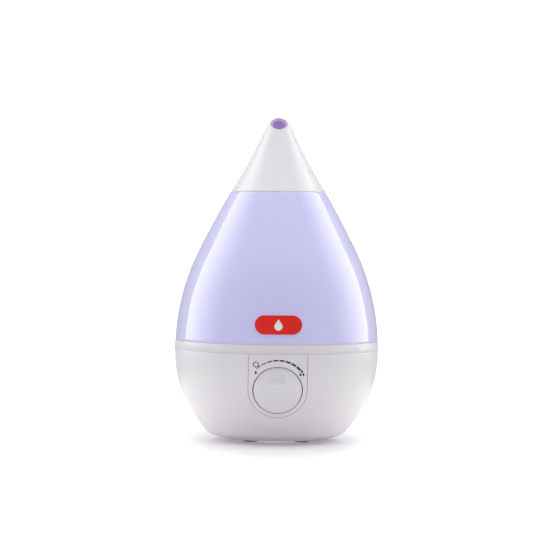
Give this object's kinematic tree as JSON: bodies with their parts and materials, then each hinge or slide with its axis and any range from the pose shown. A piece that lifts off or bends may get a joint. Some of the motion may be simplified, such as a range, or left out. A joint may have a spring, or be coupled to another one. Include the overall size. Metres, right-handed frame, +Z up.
{
  "type": "cool mist humidifier",
  "caption": "Teardrop cool mist humidifier with a lift-off translucent tank, a control dial on the base and a turning slanted mist nozzle on top.",
  "frame": {"origin": "centre of the resting plane under the feet", "axes": "+Z up, the dial faces -Y, +X to the right of someone facing the dial"},
  "size_m": [0.216, 0.216, 0.3401],
  "materials": {
    "white_plastic": "glossy moulded white",
    "dial_plastic": "glossy moulded white",
    "grey_plastic": "plain moulded",
    "black_plastic": "plain moulded",
    "tank_tint": "translucent lavender, glossy outside, frosted inside",
    "liner_purple": "satin purple",
    "badge_red": "glossy print",
    "badge_white": "glossy print",
    "rubber_grey": "matt",
    "rubber_black": "matt",
    "float_foam": "closed-cell",
    "magnet_ferrite": "matt",
    "piezo_ceramic": "silvered face",
    "screw_steel": "zinc plated",
    "spring_steel": "drawn wire",
    "pot_metal": "pressed can",
    "brass_nut": "turned",
    "circuit_board": "solder mask",
    "bare_aluminium": "extruded",
    "core_iron": "varnished laminations",
    "capacitor_sleeve": "heat-shrunk sleeve",
    "switch_glass": "clear"
  },
  "bodies": {
    "base": {"bowl_housing": "white_plastic", "control_panel": "white_plastic", "water_basin": "white_plastic", "bottom_cover": "white_plastic", "rubber_feet": "rubber_grey", "cover_screws": "screw_steel", "cord_gland": "rubber_grey", "transducer_seal": "rubber_black", "transducer_disc": "piezo_ceramic", "transducer_clamp": "screw_steel", "clamp_screws": "screw_steel", "fan_housing": "black_plastic", "fan_screws": "screw_steel", "air_duct": "grey_plastic", "float_clip": "grey_plastic", "level_switch": "switch_glass", "potentiometer": "pot_metal", "pot_washer": "screw_steel", "pot_nut": "brass_nut", "driver_board": "circuit_board", "power_board": "circuit_board", "board_screws": "screw_steel", "heat_sink": "bare_aluminium", "transformer": "core_iron", "capacitors": "capacitor_sleeve"},
    "dial": {"dial_knob": "dial_plastic", "dial_shaft": "grey_plastic"},
    "fan": {"fan_rotor": "black_plastic"},
    "float": {"float_ring": "float_foam", "float_magnet": "magnet_ferrite"},
    "tank": {"tank_shell": "tank_tint", "tank_floor": "tank_tint", "mist_chimney": "tank_tint", "badge": "badge_red", "badge_emblem": "badge_white"},
    "cap": {"tank_cap": "white_plastic", "cap_gasket": "rubber_black", "valve_guide": "white_plastic", "valve_spring": "spring_steel"},
    "valve": {"valve_plunger": "white_plastic", "valve_seal": "rubber_black"},
    "lid": {"lid_ring": "white_plastic"},
    "nozzle": {"nozzle_cone": "white_plastic", "nozzle_liner": "liner_purple"}
  },
  "joints": [
    {"name": "dial_turn", "type": "hinge", "parent": "base", "child": "dial", "pos_m": [0, -0.10209, 0.0584], "axis": [0, 0.9703, 0.2419], "range_deg": [-60, 55]},
    {"name": "fan_spin", "type": "hinge", "parent": "base", "child": "fan", "pos_m": [0.044, 0, 0.012], "axis": [0, 0, 1], "continuous": true},
    {"name": "float_rise", "type": "slide", "parent": "base", "child": "float", "axis": [0, 0, 1], "range_m": [0, 0.0075]},
    {"name": "tank_lift", "type": "slide", "parent": "base", "child": "tank", "axis": [0, 0, 1], "range_m": [0, 0.08]},
    {"name": "cap_turn", "type": "hinge", "parent": "tank", "child": "cap", "pos_m": [0, 0.056, 0.086], "axis": [0, 0, -1], "range_deg": [0, 90]},
    {"name": "valve_travel", "type": "slide", "parent": "cap", "child": "valve", "axis": [0, 0, 1], "range_m": [-0.004, 0], "deforming": ["valve_spring"]},
    {"name": "lid_lift", "type": "slide", "parent": "tank", "child": "lid", "axis": [0, 0, 1], "range_m": [0, 0.06]},
    {"name": "nozzle_turn", "type": "hinge", "parent": "lid", "child": "nozzle", "pos_m": [0, 0, 0.2629], "axis": [0, 0, 1], "continuous": true}
  ],
  "couplings": [
    {"joint": "valve_travel", "follows": "tank_lift", "ratio": -0.05}
  ]
}
